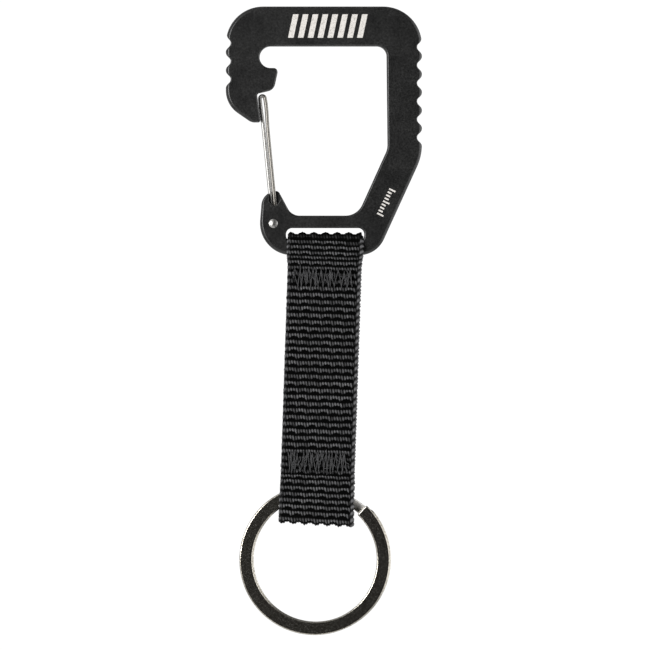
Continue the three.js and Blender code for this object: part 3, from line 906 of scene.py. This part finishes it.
def split_ring():
    whole = 4 * math.pi - RING_STEP - math.radians(2)
    tip = RING_TIP + STRAP_LEAN
    step_end = tip + 2 * math.pi - math.radians(1)
    turn = np.linspace(tip, tip + whole, 420)
    passed = ease(turn, step_end - RING_STEP, step_end)
    y = RING_PITCH * (passed - 0.5)
    section = ring_section()
    radial = np.stack([np.sin(turn), 0 * turn, np.cos(turn)], axis=1)
    centre = RING_MIDDLE * radial
    centre[:, 1] = y
    centre += np.outer(passed, REAR_TURN_SHIFT)
    joggle_and_painted_highlight = ease(turn, step_end - RING_STEP, step_end - 0.7 * RING_STEP)
    joggle_and_painted_highlight = joggle_and_painted_highlight * ease(-turn, -step_end - 0.12, -step_end)
    centre -= 0.25 * joggle_and_painted_highlight[:, None] * radial
    tangent = np.gradient(centre, axis=0)
    tangent /= np.linalg.norm(tangent, axis=1, keepdims=True)
    side = np.cross(radial, tangent)
    side *= np.sign(side[:, 1:2])
    width = 1 - 0.26 * joggle_and_painted_highlight
    rings = (centre[:, None] + width[:, None, None] * radial[:, None] * section[None, :, 1:2]
             + side[:, None] * section[None, :, 0:1])
    ends = []
    for index, sign in ((0, -1), (-1, 1)):
        for angle in np.radians((90, 60, 30)):  # the end is rounded over
            less = RING_BEVEL * (1 - math.cos(angle))
            shrunk = section * (1 - less / RING_HALF_WIRE, 1 - less / RING_HALF_WIDTH)
            end = centre[index] + sign * RING_BEVEL * math.sin(angle) * tangent[index]
            ends.append(end + radial[index] * shrunk[:, 1:2] + side[index] * shrunk[:, 0:1])
    rings = np.concatenate([ends[:3], rings, ends[:2:-1]]) + RING
    made = mesh_object("key_ring", *tube(rings))
    # painted highlight along the outer half of the joggle; the front turn's rounded end is made pale as
    # well
    outer = ease(section[:, 1], -0.4, 0.4)
    start_cap, end_cap = np.full((3, len(section)), 0.8), np.zeros((3, len(section)))
    pale = np.concatenate([start_cap, np.outer(joggle_and_painted_highlight, outer), end_cap])
    set_attribute(made, "joggle_and_painted_highlight", pale)
    crisp(made, math.radians(40))
    return dress(made, NICKEL, "ring", ["split_ring"])


# ---- Stage, light and camera -----------------------------------------------------------

BACKDROP = 1.05  # the brightness seen behind the object


def area_light(name, place, aim, size, power):
    data = bpy.data.lights.new(name, "AREA")
    data.shape = "RECTANGLE"
    data.size, data.size_y = size
    data.energy = power
    light = bpy.data.objects.new(name, data)
    bpy.context.scene.collection.objects.link(light)
    light.location = place
    light.rotation_euler = (aim - light.location).to_track_quat("-Z", "Y").to_euler()


def studio(centre):
    """A light tent, dark behind the camera and brightest on its left, and a narrow key light."""
    world = bpy.data.worlds.new("studio")
    bpy.context.scene.world = world
    world.use_nodes = True
    nodes, links = world.node_tree.nodes, world.node_tree.links
    background = nodes["Background"]
    direction = nodes.new("ShaderNodeTexCoord").outputs["Generated"]
    split = nodes.new("ShaderNodeSeparateXYZ")
    links.new(direction, split.inputs[0])

    def ramp(axis, start, end, low, high):
        made = nodes.new("ShaderNodeMapRange")
        made.interpolation_type = "SMOOTHSTEP"
        for socket, value in (("From Min", start), ("From Max", end), ("To Min", low), ("To Max", high)):
            made.inputs[socket].default_value = value
        links.new(split.outputs[axis], made.inputs["Value"])
        return made.outputs["Result"]

    def combined(operation, first, *others):
        for other in others:
            made = nodes.new("ShaderNodeMath")
            made.operation = operation
            links.new(first, made.inputs[0])
            links.new(other, made.inputs[1])
            first = made.outputs[0]
        return first

    left = combined("MULTIPLY", ramp("X", -0.15, -0.4, 0, 0.9), ramp("Y", -0.1, -0.6, 0.1, 1))
    right = ramp("X", 0.6, 0.85, 0, 1.5)
    sides = combined("ADD", ramp("X", 0.3, -0.1, 0.25, 0.45), left, right)
    strength = combined("MULTIPLY", sides, ramp("Y", -0.93, -0.65, 0.07, 1),
                        ramp("Z", 0.95, 0.2, 0.6, 1), ramp("Z", -0.9, -0.1, 0.05, 1))
    rays = nodes.new("ShaderNodeLightPath")
    mix = nodes.new("ShaderNodeMix")
    mix.inputs["B"].default_value = BACKDROP
    links.new(rays.outputs["Is Camera Ray"], mix.inputs["Factor"])
    links.new(strength, mix.inputs["A"])
    links.new(mix.outputs["Result"], background.inputs["Strength"])
    background.inputs["Color"].default_value = (1, 1, 1, 1)

    area_light("key", centre + Vector((-0.45, -0.65, 0.12)), centre, (0.2, 0.4), 4.0)

    floor_radius, floor_drop, sides = 500, 380, 96
    around = np.linspace(0, 2 * math.pi, sides, endpoint=False)
    rim = floor_radius * np.stack([np.cos(around), np.sin(around), 0 * around], axis=1)
    floor = mesh_object("floor", rim + (0, 0, centre.z / MM - floor_drop), [list(range(sides))])
    paper = Shader("white_paper", Roughness=0.9)
    tone = paper.ramp(paper.noise(40, 3), [(0.3, 0.86), (0.7, 0.9)])
    floor.data.materials.append(paper.feed(Base_Color=tone))
    paper.surface.inputs["Emission Color"].default_value = (1, 1, 1, 1)
    paper.surface.inputs["Emission Strength"].default_value = 0.2


def front_camera(centre):
    """Straight at the front from far away, so that there is almost no perspective."""
    data = bpy.data.cameras.new("front")
    distance, field = 1.3, 0.169
    data.lens = data.sensor_width * distance / field
    camera = bpy.data.objects.new("front", data)
    bpy.context.scene.collection.objects.link(camera)
    camera.location = centre + Vector((0, -distance, 0))
    camera.rotation_euler = (math.pi / 2, 0, 0)
    bpy.context.scene.camera = camera


carabiner_frame()
etched_bars()
rivet()
gate_wire()
webbing()
bar_tack("upper_tack_thread", UPPER_TACK, "strap_upper", "upper_bar_tack", 3)
bar_tack("lower_tack_thread", LOWER_TACK, "strap_lower", "lower_bar_tack", 4)
split_ring()

VIEW_CENTRE = Vector((0, 0, -0.07246))
studio(VIEW_CENTRE)
front_camera(VIEW_CENTRE)
bpy.context.scene.view_settings.view_transform = "Standard"
